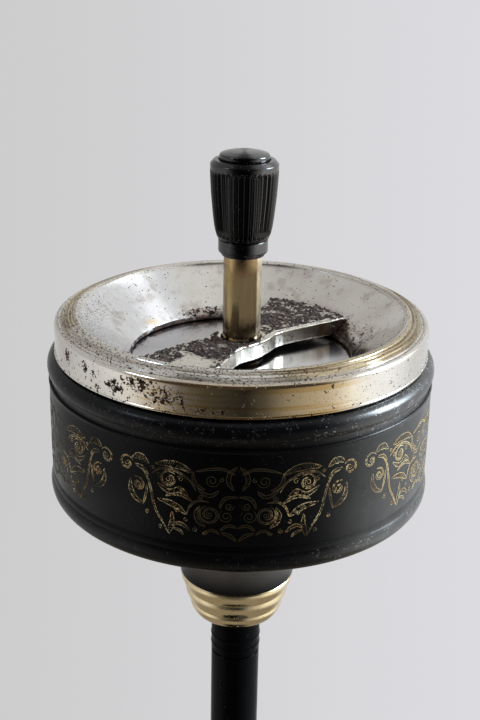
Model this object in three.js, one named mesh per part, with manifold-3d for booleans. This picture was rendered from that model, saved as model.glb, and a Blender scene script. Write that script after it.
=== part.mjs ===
// Floor-standing push-down ashtray: a nickel funnel tray sits on a black bowl, and pressing the knob
// drives a disc down a twisted spindle, so it drops and spins the ash off into the bowl.
// Millimetres, +Z up, origin on the floor at the centre of the base, all round parts on the Z axis.
import * as THREE from 'three';
import { mergeVertices } from 'three/addons/utils/BufferGeometryUtils.js';
import Module from 'manifold-3d';

const wasm = await Module();
wasm.setup();

// Driving dimensions. SEAT_Z is where the tray's band rests on the bowl's mouth, and heights named
// RISE or DROP are measured up or down from it.
const SEAT_Z = 560;
const GAP = 0.3;
const SHEET = 1;

const BOWL_R = 60;
const BOWL_BEAD_R = 60.45;
const BOWL_DEPTH = 47.4;
const BOWL_FLOOR_DROP = 51;
const LIP_R = 57.2;

const BAND_R = 58;
const RIM_R = 57;
const RIM_RISE = 10;
const CREST_R = 52;
const CREST_RISE = 12.2;
const FUNNEL_R = 50;
const FUNNEL_RISE = 11;
const HOLE_R = 34.5;
const HOLE_RISE = -2;
const RING_R = 56.7;

const BRIDGE_RISE = 3;
const BRIDGE_SKIRT = 4.4;
const BRIDGE_REACH = 38.9;
const BRIDGE_TURN = 52;
const BRIDGE_HOLE_R = 6.5;
const BUSH_R = 7.1;

const TUBE_R = 5.9;
const TUBE_BORE_R = 5.2;
const TUBE_FIT_R = 6.2;
const TUBE_FOOT = -9;
const TUBE_TOP = 40;
const STOP_R = 7;
const STOP_TOP = -0.9;
const RETAINER_BOTTOM = -7.4;

const PLATE_R = 36.6;
const PLATE_RISE = -3.5;
const PLATE_SHEET = 0.8;
const PLATE_BORE_R = 6.4;
const HUB_R = 9.5;
const HUB_BORE_R = 8.2;
const HUB_FLANGE_R = 14;
const HUB_FLANGE = 1.2;
const HUB_MOUTH_R = 6.9;
const HUB_TOP = PLATE_RISE - PLATE_SHEET - GAP;
const FLANGE_UNDER = HUB_TOP - HUB_FLANGE;
const HUB_BOTTOM = -13.6;
const HUB_RIVET_RING_R = 11.6;

const SPINDLE_WIDTH = 5;
const SPINDLE_THICK = 1;
const SPINDLE_PITCH = 24;
const SPINDLE_STEP = 1;
const SPINDLE_STUD_R = 2;
const SPINDLE_TOP = 2;
const SPINDLE_SHOULDER_R = 3.5;
const SPINDLE_NUT_R = 4;
const SLOT_FIT = 0.3;
const SLOT_TWIST_FIT = 0.55;

const BRACKET_X = 55;
const BRACKET_WIDTH = 12;
const BRACKET_SHEET = 1.5;
const BRACKET_BOTTOM = -37.5;
const BRACKET_TOP = -1.5;
const RIVET_R = 1.5;
const RIVET_HEAD_R = 2.2;
const RIVET_RISES = [-3, -8];

const SPRING_WIRE_R = 0.4;
const SPRING_R = 5.5;
const SPRING_TURNS = 6.5;
const SPRING_TOP = -14.8;

const KNOB_R = 10.31;
const KNOB_FLUTES = 36;
const FLUTE_DEPTH = 0.5;

const NECK_R = 19;
const NECK_BOTTOM = -80;
const COLLAR_LENGTH = 16.4;
const FERRULE_R = 8.3;
const FERRULE_BEAD = 0.35;
const FERRULE_FOOT = -126;
const POLE_R = 8.25;
const POLE_BORE_R = 7.25;
const POLE_TOP = -112.3;
const POLE_FOOT_Z = 23.3;
const ROD_R = 3;
const ROD_HOLE_R = 3.6;
const ROD_BOTTOM_Z = 2.5;
const ROD_TOP_Z = SEAT_Z - 45;
const NUT_R = 5.77;

const BASE_R = 109.7;
const BASE_COLLAR_Z = 26.4;
const BASE_WASHER_Z = 8.7;
const BOWL_WASHER_Z = SEAT_Z - BOWL_FLOOR_DROP + GAP;
const FELT_Z = 2;

const ROUND = 36;
const SMALL_ROUND = 20;
const TINY_ROUND = 12;

const nickel = { color: 0xb9b3a4, roughness: 0.32, metalness: 1 };
const brass = { color: 0xb08a45, roughness: 0.35, metalness: 1 };
const blackEnamel = { color: 0x0b0b0c, roughness: 0.35, metalness: 0 };
const bakelite = { color: 0x08080a, roughness: 0.3, metalness: 0 };
const steel = { color: 0x9a9a98, roughness: 0.35, metalness: 1 };
const castIron = { color: 0x2b2a29, roughness: 0.8, metalness: 0.6 };
const felt = { color: 0x1d2a20, roughness: 1, metalness: 0 };

const ashtray = new THREE.Group();

function addPiece(name, geometry, look, rise = SEAT_Z) {
  const mesh = new THREE.Mesh(geometry, new THREE.MeshStandardMaterial(look));
  mesh.name = name;
  mesh.position.z = rise;
  ashtray.add(mesh);
}

// A solid turned about Z from an outline of [radius, height] points, closed on itself or on the axis.
function turned(outline, segments = ROUND) {
  const onAxis = outline.some(([radius]) => radius === 0);
  const points = outline.map(([radius, height]) => new THREE.Vector2(radius, height));
  if (THREE.ShapeUtils.area(points) < 0) points.reverse();
  if (!onAxis) points.push(points[0].clone());
  const geometry = new THREE.LatheGeometry(points, segments);
  geometry.rotateX(Math.PI / 2);
  return geometry;
}

function ring(innerR, outerR, low, high, segments = ROUND) {
  return turned([[innerR, low], [outerR, low], [outerR, high], [innerR, high]], segments);
}

function disc(radius, low, high, segments = ROUND) {
  return turned([[0, low], [radius, low], [radius, high], [0, high]], segments);
}

function toSolid(geometry) {
  const bare = geometry.clone();
  bare.deleteAttribute('normal');
  bare.deleteAttribute('uv');
  const merged = mergeVertices(bare, 1e-4);
  return new wasm.Manifold(new wasm.Mesh({
    numProp: 3,
    vertProperties: new Float32Array(merged.attributes.position.array),
    triVerts: new Uint32Array(merged.index.array),
  }));
}

function toGeometry(solid) {
  const mesh = solid.getMesh();
  const geometry = new THREE.BufferGeometry();
  geometry.setAttribute('position', new THREE.BufferAttribute(mesh.vertProperties, 3));
  geometry.setIndex(new THREE.BufferAttribute(mesh.triVerts, 1));
  return geometry;
}

function prism(outline, low, high) {
  const shape = new THREE.Shape(outline.map(([x, y]) => new THREE.Vector2(x, y)));
  const geometry = new THREE.ExtrudeGeometry(shape, { depth: high - low, bevelEnabled: false });
  return geometry.translate(0, 0, low);
}

// --- The tray that lifts off ---

// The funnel's upper face as a straight line between its hole and its shoulder.
function funnelRise(radius) {
  return HOLE_RISE + (radius - HOLE_R) * (FUNNEL_RISE - HOLE_RISE) / (FUNNEL_R - HOLE_R);
}

function makeFunnelTray() {
  return turned([
    [BAND_R, 0], [BAND_R, 8.5], [57.7, 9.5], [RIM_R, RIM_RISE + 0.6],
    [54.5, 11.9], [CREST_R, CREST_RISE], [FUNNEL_R, FUNNEL_RISE],
    [HOLE_R, HOLE_RISE], [HOLE_R, HOLE_RISE - 1.2], [HOLE_R + 0.8, HOLE_RISE - 1],
    [FUNNEL_R + 0.4, FUNNEL_RISE - SHEET], [CREST_R, CREST_RISE - SHEET],
    [RIM_R - 1, RIM_RISE - 0.2], [BAND_R - SHEET, 8], [BAND_R - SHEET, 0],
  ]);
}

function rivetHole(height, side) {
  const hole = disc(RIVET_R + GAP, BRACKET_X - 5, BAND_R, TINY_ROUND);
  hole.rotateY(Math.PI / 2);
  hole.rotateZ(side > 0 ? 0 : Math.PI);
  hole.translate(0, 0, height);
  return toSolid(hole);
}

function drillForRivets(solid) {
  let drilled = solid;
  for (const side of [1, -1]) {
    for (const height of RIVET_RISES) drilled = drilled.subtract(rivetHole(height, side));
  }
  return drilled;
}

function makeLocatingRing() {
  return toGeometry(drillForRivets(toSolid(ring(RING_R - SHEET, RING_R, -10, 8))));
}

// Half-width of the bridge at each distance from its middle: a round hub, a neck, then a flaring arm.
const BRIDGE_HALF_WIDTHS = [[0, 8.4], [4, 8.1], [8.5, 7.1], [12, 7.5], [18, 9.5], [39.5, 16.6]];

function bowTie(inset, low, high) {
  const arm = BRIDGE_HALF_WIDTHS.map(([along, half]) => [along, half - inset]);
  const otherArm = arm.slice(1).reverse().map(([along, half]) => [-along, half]);
  const upper = [...otherArm, ...arm];
  const lower = upper.map(([along, half]) => [along, -half]).reverse();
  return toSolid(prism([...lower, ...upper], low, high));
}

// A bow-tie sheet with its long edges turned down, cut at its tips to lie on the funnel's wall.
function makeBridge() {
  const top = BRIDGE_RISE;
  const bottom = BRIDGE_RISE - BRIDGE_SKIRT;
  const under = toSolid(disc(FUNNEL_R, bottom - 1, top - SHEET));
  const hollow = bowTie(SHEET, bottom - 1, top).intersect(under);
  const reachDisc = toSolid(disc(BRIDGE_REACH, bottom - 1, top + 1));
  const funnelSpace = toSolid(turned([
    [HOLE_R - 2, funnelRise(HOLE_R - 2) + GAP], [FUNNEL_R, FUNNEL_RISE + GAP],
    [FUNNEL_R, -5], [HOLE_R - 2, -5],
  ]));
  const tubeHole = toSolid(disc(BRIDGE_HOLE_R, bottom - 1, top + 1, SMALL_ROUND));
  const bridge = bowTie(0, bottom, top).intersect(reachDisc)
    .subtract(hollow).subtract(funnelSpace).subtract(tubeHole);
  return toGeometry(bridge).rotateZ(THREE.MathUtils.degToRad(BRIDGE_TURN));
}

// Turned ring soldered under the bridge's hub, which the tube slides in.
function makeGuideBush() {
  return ring(TUBE_FIT_R, BUSH_R, -0.5, BRIDGE_RISE - SHEET - GAP, SMALL_ROUND);
}

// A strip bent to a U: legs riveted inside the locating ring, its floor carrying the spindle.
function makeSpindleBracket() {
  const inner = BRACKET_X - BRACKET_SHEET;
  const floorTop = BRACKET_BOTTOM + BRACKET_SHEET;
  const shape = [
    [-BRACKET_X, BRACKET_TOP], [-BRACKET_X, BRACKET_BOTTOM], [BRACKET_X, BRACKET_BOTTOM],
    [BRACKET_X, BRACKET_TOP], [inner, BRACKET_TOP], [inner, floorTop], [-inner, floorTop],
    [-inner, BRACKET_TOP],
  ];
  const strip = prism(shape, -BRACKET_WIDTH / 2, BRACKET_WIDTH / 2).rotateX(Math.PI / 2);
  const studHole = toSolid(disc(SPINDLE_STUD_R + GAP, BRACKET_BOTTOM - 1, floorTop + 1, TINY_ROUND));
  return toGeometry(drillForRivets(toSolid(strip)).subtract(studHole));
}

function makeBracketRivet(height, side) {
  const headFace = BRACKET_X - BRACKET_SHEET - GAP;
  const rivet = turned([
    [0, headFace - 1.2], [RIVET_HEAD_R * 0.7, headFace - 1], [RIVET_HEAD_R, headFace],
    [RIVET_R, headFace], [RIVET_R, RING_R - GAP], [0, RING_R - GAP],
  ], TINY_ROUND);
  rivet.rotateY(Math.PI / 2);
  rivet.rotateZ(side > 0 ? 0 : Math.PI);
  return rivet.translate(0, 0, height);
}

// A flat strip twisted about Z, one turn in SPINDLE_PITCH, turning clockwise as it rises.
function twistedStrip(low, high) {
  const steps = Math.round((high - low) / SPINDLE_STEP);
  const corners = [[1, 1], [-1, 1], [-1, -1], [1, -1]];
  const positions = [];
  for (let step = 0; step <= steps; step += 1) {
    const height = low + (high - low) * step / steps;
    const angle = -2 * Math.PI * height / SPINDLE_PITCH;
    for (const [sideX, sideY] of corners) {
      const x = sideX * SPINDLE_WIDTH / 2;
      const y = sideY * SPINDLE_THICK / 2;
      positions.push(
        x * Math.cos(angle) - y * Math.sin(angle),
        x * Math.sin(angle) + y * Math.cos(angle),
        height,
      );
    }
  }
  const faces = [0, 2, 1, 0, 3, 2];
  for (let step = 0; step < steps; step += 1) {
    for (let side = 0; side < 4; side += 1) {
      const a = step * 4 + side;
      const b = step * 4 + (side + 1) % 4;
      faces.push(a, b, b + 4, a, b + 4, a + 4);
    }
  }
  const last = steps * 4;
  faces.push(last, last + 1, last + 2, last, last + 2, last + 3);
  const geometry = new THREE.BufferGeometry();
  geometry.setAttribute('position', new THREE.BufferAttribute(new Float32Array(positions), 3));
  geometry.setIndex(faces);
  return geometry;
}

function makeTwistedSpindle() {
  const seat = BRACKET_BOTTOM + BRACKET_SHEET + GAP;
  const foot = turned([
    [0, BRACKET_BOTTOM - 3.9], [SPINDLE_STUD_R, BRACKET_BOTTOM - 3.9], [SPINDLE_STUD_R, seat],
    [SPINDLE_SHOULDER_R, seat], [SPINDLE_SHOULDER_R, seat + 1.6], [0, seat + 1.6],
  ], TINY_ROUND);
  return toGeometry(toSolid(twistedStrip(seat + 1, SPINDLE_TOP)).add(toSolid(foot)));
}

function hexNut(boreR, cornerR, low, high) {
  const body = toSolid(disc(cornerR, low, high, 6));
  return toGeometry(body.subtract(toSolid(disc(boreR, low - 1, high + 1, TINY_ROUND))));
}

function makeSpindleNut() {
  return hexNut(SPINDLE_STUD_R + GAP, SPINDLE_NUT_R, BRACKET_BOTTOM - 2.8, BRACKET_BOTTOM - GAP);
}

class HelixPath extends THREE.Curve {
  getPoint(t, target = new THREE.Vector3()) {
    const angle = 2 * Math.PI * SPRING_TURNS * t;
    const low = BRACKET_BOTTOM + BRACKET_SHEET + GAP + SPRING_WIRE_R;
    const high = SPRING_TOP - SPRING_WIRE_R;
    return target.set(SPRING_R * Math.cos(angle), SPRING_R * Math.sin(angle), low + (high - low) * t);
  }
}

function makeReturnSpring() {
  const section = new THREE.Shape();
  section.absarc(0, 0, SPRING_WIRE_R, 0, 2 * Math.PI);
  return new THREE.ExtrudeGeometry(section, {
    steps: Math.round(SPRING_TURNS * 12),
    curveSegments: 3,
    extrudePath: new HelixPath(),
    bevelEnabled: false,
  });
}

// --- The plunger: knob and tube ---

function makePlungerTube() {
  return ring(TUBE_BORE_R, TUBE_R, TUBE_FOOT, TUBE_TOP, SMALL_ROUND);
}

// A small ring pressed on the tube above or below the hub's flange, so the spinner can turn between.
function slipRing(low, high) {
  return ring(TUBE_FIT_R, STOP_R, low, high, SMALL_ROUND);
}

function makeKnobCollar() {
  return turned([
    [TUBE_FIT_R, 29.6], [6.9, 29.6], [7.45, 30.4], [7.64, 31.5], [7.64, 34.7], [TUBE_FIT_R, 34.7],
  ], SMALL_ROUND);
}

// Turned body whose side carries straight flutes between its foot and a plain band near the top.
function makeKnob() {
  const bore = TUBE_TOP + GAP;
  const outline = [
    [0, bore], [TUBE_FIT_R, bore], [TUBE_FIT_R, 35], [7.9, 35], [8.72, 37.8], [9.26, 41.6],
    [9.64, 45.3], [9.97, 48.9], [10.25, 54], [KNOB_R, 56.8], [KNOB_R, 58], [9.2, 58.9],
    [7.9, 58.9], [7.9, 58.2], [0, 58.2],
  ];
  const geometry = toGeometry(toSolid(turned(outline, KNOB_FLUTES * 2)));
  const place = geometry.attributes.position;
  for (let i = 0; i < place.count; i += 1) {
    const x = place.getX(i);
    const y = place.getY(i);
    const radius = Math.hypot(x, y);
    const flute = Math.round(Math.atan2(y, x) * KNOB_FLUTES / Math.PI);
    if (radius > 8.3 && place.getZ(i) < 56 && flute % 2 !== 0) {
      place.setX(i, x * (1 - FLUTE_DEPTH / radius));
      place.setY(i, y * (1 - FLUTE_DEPTH / radius));
    }
  }
  return geometry;
}

function makeKnobCap() {
  return turned([
    [0, 58.5], [7.6, 58.5], [7.6, 60.2], [7.2, 60.8], [4.5, 61.4], [0, 61.5],
  ], SMALL_ROUND);
}

// --- The spinner: plate, hub and slotted drive plate ---

function hubRivetAngle(index) {
  return index * 2 * Math.PI / 3 + Math.PI / 6;
}

function drillForHubRivets(geometry) {
  let drilled = toSolid(geometry);
  for (let index = 0; index < 3; index += 1) {
    const hole = disc(RIVET_R, -8, 0, TINY_ROUND);
    const angle = hubRivetAngle(index);
    hole.translate(HUB_RIVET_RING_R * Math.cos(angle), HUB_RIVET_RING_R * Math.sin(angle), 0);
    drilled = drilled.subtract(toSolid(hole));
  }
  return toGeometry(drilled);
}

function makeSpinnerPlate() {
  return drillForHubRivets(ring(PLATE_BORE_R, PLATE_R, PLATE_RISE - PLATE_SHEET, PLATE_RISE));
}

function makeSpinnerHub() {
  return drillForHubRivets(turned([
    [PLATE_BORE_R, HUB_TOP], [HUB_FLANGE_R, HUB_TOP], [HUB_FLANGE_R, FLANGE_UNDER],
    [HUB_R, FLANGE_UNDER], [HUB_R, HUB_BOTTOM], [HUB_MOUTH_R, HUB_BOTTOM],
    [HUB_MOUTH_R, HUB_BOTTOM + 0.7], [HUB_BORE_R, HUB_BOTTOM + 0.7],
    [HUB_BORE_R, FLANGE_UNDER], [PLATE_BORE_R, FLANGE_UNDER],
  ], SMALL_ROUND));
}

function makeDrivePlate() {
  const low = HUB_BOTTOM + 1;
  const middle = low + 0.5;
  const blank = toSolid(disc(HUB_BORE_R - GAP, low, low + 1, SMALL_ROUND));
  const halfX = SPINDLE_WIDTH / 2 + SLOT_FIT;
  const halfY = SPINDLE_THICK / 2 + SLOT_TWIST_FIT;
  const corners = [[-halfX, -halfY], [halfX, -halfY], [halfX, halfY], [-halfX, halfY]];
  const slot = prism(corners, low - 1, low + 2);
  slot.rotateZ(-2 * Math.PI * middle / SPINDLE_PITCH);
  return toGeometry(blank.subtract(toSolid(slot)));
}

function makeHubRivet(index) {
  const shankR = RIVET_R - GAP;
  const angle = hubRivetAngle(index);
  const under = FLANGE_UNDER - GAP;
  const flushTop = PLATE_RISE - 0.1;
  const rivet = turned([
    [0, under - 0.8], [1.8, under - 0.8], [2, under], [shankR, under], [shankR, flushTop], [0, flushTop],
  ], TINY_ROUND);
  return rivet.translate(HUB_RIVET_RING_R * Math.cos(angle), HUB_RIVET_RING_R * Math.sin(angle), 0);
}

// --- The bowl and stand ---

function makeBowlWall() {
  const inner = BOWL_R - SHEET;
  return turned([
    [LIP_R, -GAP], [58.4, -0.6], [59.7, -1.6], [BOWL_BEAD_R, -3.6], [60.3, -5], [59.6, -7.2],
    [59.5, -7.8], [60.1, -8.5], [BOWL_R, -9.6], [BOWL_R, -39], [BOWL_BEAD_R, -41.5], [BOWL_BEAD_R, -44.5],
    [59.6, -46.3], [57.9, -BOWL_DEPTH], [54.5, -48.4], [54.5, -BOWL_DEPTH], [57.4, -46.5],
    [inner, -43.5], [inner, -2.6], [58.4, -1.5], [LIP_R, -1.3],
  ]);
}

// A shallow pan whose rim lies inside the bowl wall, on its turned-in lower edge.
function makeBowlFloor() {
  const top = -BOWL_FLOOR_DROP;
  return turned([
    [ROD_HOLE_R, top - SHEET], [46.5, top - SHEET], [52.2, -47.1], [56.3, -46.4],
    [57.8, -44.8], [57.2, -44.2], [55.8, -45.4], [51.8, -46.1], [46, top], [ROD_HOLE_R, top],
  ]);
}

function makeNeckCone() {
  const top = -BOWL_FLOOR_DROP - SHEET - GAP;
  return turned([
    [30.5, top], [27, -56], [24, -62], [21.2, -70], [19.6, -76], [NECK_R, NECK_BOTTOM],
    [10, NECK_BOTTOM], [10, -78.8], [NECK_R - 1.3, -78.8], [18.4, -76], [20, -70], [22.8, -62],
    [25.8, -56], [28.8, top],
  ]);
}

// Outline of the ribbed bell collar: outer face from its wide end, three ridges, then its small end.
const COLLAR_RIBS = [
  [18.9, 0], [18.6, 2.2], [17.9, 4.2], [16.9, 6], [17.3, 7.2], [16.2, 9], [15.3, 11],
  [15.6, 12.2], [14.2, 14], [13, 15.4], [12.5, 16.1],
];
function collarOutline(boreR) {
  return [
    [10, 0], ...COLLAR_RIBS, [12, COLLAR_LENGTH], [boreR, COLLAR_LENGTH],
    [boreR, COLLAR_LENGTH - 1], [11, COLLAR_LENGTH - 1], [16.8, 1], [10, 1],
  ];
}

function makeNeckCollar() {
  const outline = collarOutline(5);
  return turned(outline.map(([radius, along]) => [radius, NECK_BOTTOM - GAP - along]), SMALL_ROUND);
}

function makeBaseCollar() {
  const outline = collarOutline(POLE_R + GAP);
  return turned(outline.map(([radius, along]) => [radius, BASE_COLLAR_Z + along]), SMALL_ROUND);
}

function bead(radius, height, size) {
  return [[radius, height + size], [radius + size, height + size / 2],
    [radius + size, height - size / 2], [radius, height - size]];
}

// Turned spigot: its beaded head shows between collar and pole, its tail plugs into the pole.
function makePoleFerrule() {
  const top = NECK_BOTTOM - GAP - COLLAR_LENGTH - GAP;
  const shoulder = POLE_TOP + GAP;
  return turned([
    [4.2, top], [FERRULE_R, top],
    ...bead(FERRULE_R, -105.7, FERRULE_BEAD), ...bead(FERRULE_R, -109.2, FERRULE_BEAD),
    [FERRULE_R, shoulder], [POLE_BORE_R - GAP, shoulder],
    [POLE_BORE_R - GAP, FERRULE_FOOT], [4.2, FERRULE_FOOT],
  ], SMALL_ROUND);
}

function makePole() {
  return ring(POLE_BORE_R, POLE_R, POLE_FOOT_Z, SEAT_Z + POLE_TOP, SMALL_ROUND);
}

function makeBaseCover() {
  return turned([
    [BASE_R, 3], [BASE_R, 9], [108.6, 12], [105, 14], [96, 16.4], [70, 20.4], [40, 23.4],
    [22, 25.2], [17, 25.9], [POLE_R + GAP, 25.9], [POLE_R + GAP, 24.9], [22, 24.2], [40, 22.4],
    [70, 19.4], [96, 15.3], [104.6, 13], [107.7, 11.2], [BASE_R - SHEET, 8.6], [BASE_R - SHEET, 3],
  ]);
}

function makeBaseTrim() {
  return turned([
    [BASE_R + GAP, 2.6], [111, 2.6], [111.4, 4.6], [111.4, 7.2], [111, 9.3], [BASE_R + GAP, 9.3],
  ]);
}

function makeBaseWeight() {
  const bottom = FELT_Z + GAP;
  return turned([
    [13, bottom], [107, bottom], [107, 7.5], [98, 12.3], [70, 17.5], [40, 20.5], [22, 22.8],
    [ROD_HOLE_R, 23], [ROD_HOLE_R, 9], [13, 9],
  ]);
}

function buildTray() {
  addPiece('funnel_tray', makeFunnelTray(), nickel);
  addPiece('locating_ring', makeLocatingRing(), steel);
  addPiece('bridge', makeBridge(), nickel);
  addPiece('guide_bush', makeGuideBush(), brass);
  addPiece('spindle_bracket', makeSpindleBracket(), steel);
  let number = 0;
  for (const side of [1, -1]) {
    for (const height of RIVET_RISES) {
      number += 1;
      addPiece(`bracket_rivet_${number}`, makeBracketRivet(height, side), steel);
    }
  }
  addPiece('twisted_spindle', makeTwistedSpindle(), steel);
  addPiece('spindle_nut', makeSpindleNut(), brass);
  addPiece('return_spring', makeReturnSpring(), steel);
}

function buildPlunger() {
  addPiece('knob', makeKnob(), bakelite);
  addPiece('knob_cap', makeKnobCap(), bakelite);
  addPiece('knob_collar', makeKnobCollar(), bakelite);
  addPiece('plunger_tube', makePlungerTube(), brass);
  addPiece('stop_collar', slipRing(PLATE_RISE + GAP, STOP_TOP), brass);
  addPiece('retaining_ring', slipRing(RETAINER_BOTTOM, FLANGE_UNDER - GAP), steel);
  addPiece('spring_washer', ring(4.5, 7.5, HUB_BOTTOM - 0.9, HUB_BOTTOM - GAP, SMALL_ROUND), steel);
}

function buildSpinner() {
  addPiece('spinner_plate', makeSpinnerPlate(), nickel);
  addPiece('spinner_hub', makeSpinnerHub(), brass);
  addPiece('drive_plate', makeDrivePlate(), steel);
  for (let index = 0; index < 3; index += 1) {
    addPiece(`hub_rivet_${index + 1}`, makeHubRivet(index), steel);
  }
}

function buildStand() {
  addPiece('bowl_wall', makeBowlWall(), blackEnamel);
  addPiece('bowl_floor', makeBowlFloor(), blackEnamel);
  addPiece('neck_cone', makeNeckCone(), blackEnamel);
  addPiece('neck_collar', makeNeckCollar(), brass);
  addPiece('pole_ferrule', makePoleFerrule(), blackEnamel);
  addPiece('pole', makePole(), blackEnamel, 0);
  addPiece('tie_rod', disc(ROD_R, ROD_BOTTOM_Z, ROD_TOP_Z, TINY_ROUND), steel, 0);
  addPiece('bowl_washer', ring(ROD_R + GAP, 9, 0, 1.2, SMALL_ROUND), steel, BOWL_WASHER_Z);
  addPiece('bowl_nut', hexNut(ROD_R + GAP, NUT_R, 1.5, 5.5), steel, BOWL_WASHER_Z);
  addPiece('base_collar', makeBaseCollar(), brass, 0);
  addPiece('base_cover', makeBaseCover(), blackEnamel, 0);
  addPiece('base_trim', makeBaseTrim(), nickel, 0);
  addPiece('base_weight', makeBaseWeight(), castIron, 0);
  addPiece('base_washer', ring(ROD_R + GAP, 10, -1.2, 0, SMALL_ROUND), steel, BASE_WASHER_Z);
  addPiece('base_nut', hexNut(ROD_R + GAP, NUT_R, -5.5, -1.5), steel, BASE_WASHER_Z);
  addPiece('base_felt', ring(20, 104, 0, FELT_Z), felt, 0);
}

buildTray();
buildPlunger();
buildSpinner();
buildStand();

export default ashtray;
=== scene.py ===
"""Looks of a floor-standing push-down ashtray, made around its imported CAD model.

Outlines are (radius, height) points in millimetres. Heights are measured from the seat, where the tray's
band rests on the bowl's mouth, except on the base, where they are measured from the floor.
"""
import math

import bmesh
import bpy
from mathutils import Matrix, Vector, noise


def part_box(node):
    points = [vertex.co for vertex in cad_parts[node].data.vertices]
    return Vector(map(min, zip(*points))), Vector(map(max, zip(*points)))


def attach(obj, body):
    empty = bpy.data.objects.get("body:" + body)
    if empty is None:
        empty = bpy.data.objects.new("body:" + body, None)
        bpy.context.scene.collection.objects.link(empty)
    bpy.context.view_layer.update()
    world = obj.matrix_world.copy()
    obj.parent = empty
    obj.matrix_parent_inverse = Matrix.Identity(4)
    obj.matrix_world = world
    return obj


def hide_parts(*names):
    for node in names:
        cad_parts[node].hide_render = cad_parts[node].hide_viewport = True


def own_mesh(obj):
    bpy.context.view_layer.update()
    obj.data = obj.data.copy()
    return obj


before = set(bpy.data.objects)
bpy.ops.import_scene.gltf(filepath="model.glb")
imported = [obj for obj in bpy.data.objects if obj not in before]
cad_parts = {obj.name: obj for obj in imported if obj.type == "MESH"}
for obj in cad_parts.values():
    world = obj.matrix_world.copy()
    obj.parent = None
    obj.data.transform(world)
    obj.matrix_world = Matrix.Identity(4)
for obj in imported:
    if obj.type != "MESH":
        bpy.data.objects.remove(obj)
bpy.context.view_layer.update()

MM = 0.001
LIP_GAP = 0.3
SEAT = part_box("bowl_wall")[1].z / MM + LIP_GAP
FLOOR = 0.0
BAND_R = 58.0
FRONT = -math.pi / 2
PRINT_PITCH = math.radians(70)
SHARP_EDGE = math.radians(32)


# --- Mesh making ---


def arc(centre_r, centre_z, radius, start, end, steps=8):
    """Points along an arc in an outline; angles in degrees, from outward (0) towards up (90)."""
    points = []
    for i in range(steps + 1):
        angle = math.radians(start + (end - start) * i / steps)
        points.append((centre_r + radius * math.cos(angle), centre_z + radius * math.sin(angle)))
    return points


def smooth(points, steps=6):
    """A smooth line through the points of an outline, as Catmull-Rom pieces."""
    padded = [points[0]] + list(points) + [points[-1]]
    line = []
    for a, b, c, d in zip(padded, padded[1:], padded[2:], padded[3:]):
        for i in range(steps):
            t = i / steps
            line.append(tuple(
                0.5 * (2 * q + (r - p) * t + (2 * p - 5 * q + 4 * r - s) * t * t
                       + (3 * q - p - 3 * r + s) * t ** 3)
                for p, q, r, s in zip(a, b, c, d)))
    line.append(points[-1])
    return line


def new_object(name, vertices, faces):
    """An object that is shaded smooth, with crisp edges where it bends by more than SHARP_EDGE."""
    mesh = bpy.data.meshes.new(name)
    mesh.from_pydata(vertices, [], faces)
    mesh.validate()
    mesh.shade_smooth()
    mesh.set_sharp_from_angle(angle=SHARP_EDGE)
    piece = bpy.data.objects.new(name, mesh)
    bpy.context.scene.collection.objects.link(piece)
    return piece


def turned_mesh(outline, base, steps, shape=None):
    """Vertices and faces of an outline turned about Z. shape(radius, height, angle) may change the radius."""
    area = sum(a[0] * b[1] - b[0] * a[1] for a, b in zip(outline, outline[1:] + outline[:1]))
    if area < 0:
        outline = outline[::-1]
    on_axis = [i for i, (radius, _) in enumerate(outline) if radius == 0]
    if on_axis:
        while outline[0][0] != 0 or outline[-1][0] != 0:
            outline = outline[1:] + outline[:1]
    vertices = []
    rows = []
    for radius, height in outline:
        if radius == 0:
            rows.append([len(vertices)] * steps)
            vertices.append((0, 0, (base + height) * MM))
            continue
        rows.append(range(len(vertices), len(vertices) + steps))
        for i in range(steps):
            angle = 2 * math.pi * i / steps
            r = shape(radius, height, angle) if shape else radius
            vertices.append((r * math.cos(angle) * MM, r * math.sin(angle) * MM, (base + height) * MM))
    faces = []
    pairs = list(zip(rows, rows[1:]))
    if not on_axis:
        pairs.append((rows[-1], rows[0]))
    for low, high in pairs:
        for i in range(steps):
            j = (i + 1) % steps
            corners = [low[i], low[j], high[j], high[i]]
            corners = [c for k, c in enumerate(corners) if c != corners[k - 1]]
            if len(corners) > 2:
                faces.append(corners)
    return vertices, faces


def dress(piece, node_names, body, look):
    """Gives a piece its material and says what it rides on and which CAD nodes it stands for."""
    piece.data.materials.clear()
    piece.data.materials.append(look)
    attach(piece, body)
    if node_names:
        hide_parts(*node_names)
    return piece


def turn(name, outline, body, look, base=SEAT, steps=160, shape=None):
    """A finely turned piece that stands for the CAD node of the same name."""
    vertices, faces = turned_mesh(outline, base, steps, shape)
    piece = new_object(name + "_fine", vertices, faces)
    return dress(piece, [name], body, look)


def hand_spun(amount):
    """A shape for sheet that was spun and handled: the radius wanders by about that many millimetres."""
    def shape(radius, height, angle):
        place = Vector((2.1 * math.cos(angle), 2.1 * math.sin(angle), height * 0.03))
        return radius + amount * noise.noise(place)
    return shape


# --- Materials ---


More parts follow.
